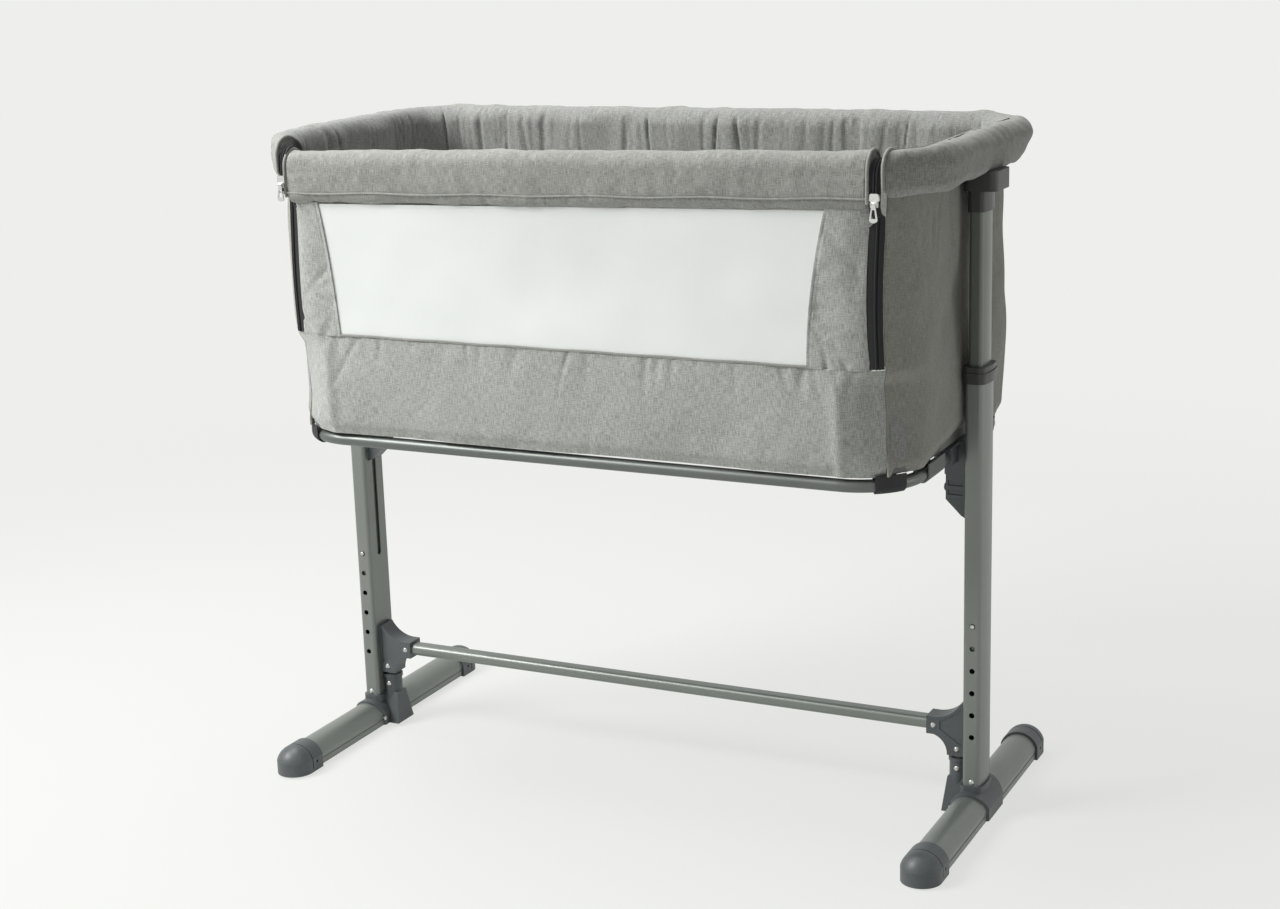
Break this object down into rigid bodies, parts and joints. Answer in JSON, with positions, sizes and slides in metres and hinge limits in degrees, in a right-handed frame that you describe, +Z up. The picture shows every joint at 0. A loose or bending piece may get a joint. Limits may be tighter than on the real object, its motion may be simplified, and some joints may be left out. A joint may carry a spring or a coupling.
{
  "type": "bedside sleeper crib",
  "caption": "Bedside sleeper crib: padded fabric tub with a mesh drop side, hung between two height-adjustable telescoping posts on arched floor feet.",
  "frame": {"origin": "on the floor under the middle of the crib, the bottom centre of its box", "axes": "+X along the length towards the right-hand end as the mesh drop side is faced, +Y to the back, away from the drop side, +Z up"},
  "size_m": [0.97, 0.496, 0.8888],
  "materials": {
    "grey_tube": "satin",
    "bright_tube": "brushed",
    "ring_tube": "satin",
    "dark_plastic": "matt",
    "rubber": "matt",
    "steel": "satin",
    "puller": "polished",
    "black_webbing": "woven",
    "grey_webbing": "woven",
    "padded_fabric": "woven melange",
    "light_fabric": "woven melange",
    "side_fabric": "woven melange",
    "piping": "woven",
    "lining": "woven",
    "board": "plain",
    "mattress_cover": "quilted",
    "mesh": "open mesh",
    "zip_black": "ribbed"
  },
  "bodies": {
    "base": {"foot_tube_left": "grey_tube", "foot_tube_right": "grey_tube", "nose_front_left": "dark_plastic", "nose_front_right": "dark_plastic", "nose_back_left": "dark_plastic", "nose_back_right": "dark_plastic", "foot_pads": "rubber", "post_saddle_left": "dark_plastic", "post_saddle_right": "dark_plastic", "stub_sockets": "dark_plastic", "outer_post_left": "grey_tube", "outer_post_right": "grey_tube", "post_bushes": "dark_plastic", "gusset_left": "dark_plastic", "gusset_right": "dark_plastic", "stub_tubes": "grey_tube", "crossbar": "grey_tube", "base_screws": "steel"},
    "bassinet": {"inner_post_left": "bright_tube", "inner_post_right": "bright_tube", "inner_glides": "dark_plastic", "leaf_holders": "dark_plastic", "post_cap_left": "dark_plastic", "post_cap_right": "dark_plastic", "slot_bracket_left": "dark_plastic", "slot_bracket_right": "dark_plastic", "bracket_knobs": "dark_plastic", "ring_clamps": "dark_plastic", "lower_ring": "ring_tube", "ring_straps": "black_webbing", "ring_tabs": "grey_webbing", "tab_snaps": "steel", "rim_tube": "ring_tube", "rim_cover": "padded_fabric", "rim_piping": "piping", "rim_end_plugs": "dark_plastic", "end_panel_left": "side_fabric", "end_panel_right": "side_fabric", "front_band": "light_fabric", "back_panel": "light_fabric", "tub_floor": "lining", "base_board": "board", "mattress": "mattress_cover", "zip_tapes": "zip_black"},
    "drop_side": {"drop_bar": "ring_tube", "drop_bar_plugs": "dark_plastic", "drop_cover": "padded_fabric", "drop_piping": "piping", "drop_strips": "light_fabric", "mesh_window": "mesh", "window_hem": "light_fabric", "drop_zips": "zip_black"},
    "zip_slider_left": {"zip_slider_left": "puller"},
    "zip_slider_right": {"zip_slider_right": "puller"},
    "pull_tab_left": {"pull_tab_left": "puller"},
    "pull_tab_right": {"pull_tab_right": "puller"},
    "snap_clip_left": {"snap_clip_left": "steel"},
    "snap_clip_right": {"snap_clip_right": "steel"}
  },
  "joints": [
    {"name": "height_slide", "type": "slide", "parent": "base", "child": "bassinet", "axis": [0, 0, 1], "range_m": [-0.15, 0], "deforming": ["snap_clip_left", "snap_clip_right"]},
    {"name": "drop_side_fold", "type": "hinge", "parent": "bassinet", "child": "drop_side", "pos_m": [0, -0.2225, 0.629], "axis": [1, 0, 0], "range_deg": [0, 175]},
    {"name": "zip_slide_left", "type": "slide", "parent": "bassinet", "child": "zip_slider_left", "axis": [0, 0.0792, -0.9969], "range_m": [0, 0.1876]},
    {"name": "zip_slide_right", "type": "slide", "parent": "bassinet", "child": "zip_slider_right", "axis": [0, 0.0792, -0.9969], "range_m": [0, 0.1876]},
    {"name": "pull_tab_swing_left", "type": "hinge", "parent": "zip_slider_left", "child": "pull_tab_left", "pos_m": [-0.4045, -0.23699, 0.826], "axis": [-1, 0, 0], "range_deg": [0, 160]},
    {"name": "pull_tab_swing_right", "type": "hinge", "parent": "zip_slider_right", "child": "pull_tab_right", "pos_m": [0.4045, -0.23699, 0.826], "axis": [-1, 0, 0], "range_deg": [0, 160]},
    {"name": "snap_clip_press_left", "type": "hinge", "parent": "bassinet", "child": "snap_clip_left", "pos_m": [-0.458, -0.0196, 0.306], "axis": [1, 0, 0], "range_deg": [0, 6], "stiffness_Nm_per_rad": 5, "springref_deg": -2.86},
    {"name": "snap_clip_press_right", "type": "hinge", "parent": "bassinet", "child": "snap_clip_right", "pos_m": [0.458, -0.0196, 0.306], "axis": [1, 0, 0], "range_deg": [0, 6], "stiffness_Nm_per_rad": 5, "springref_deg": -2.86}
  ]
}
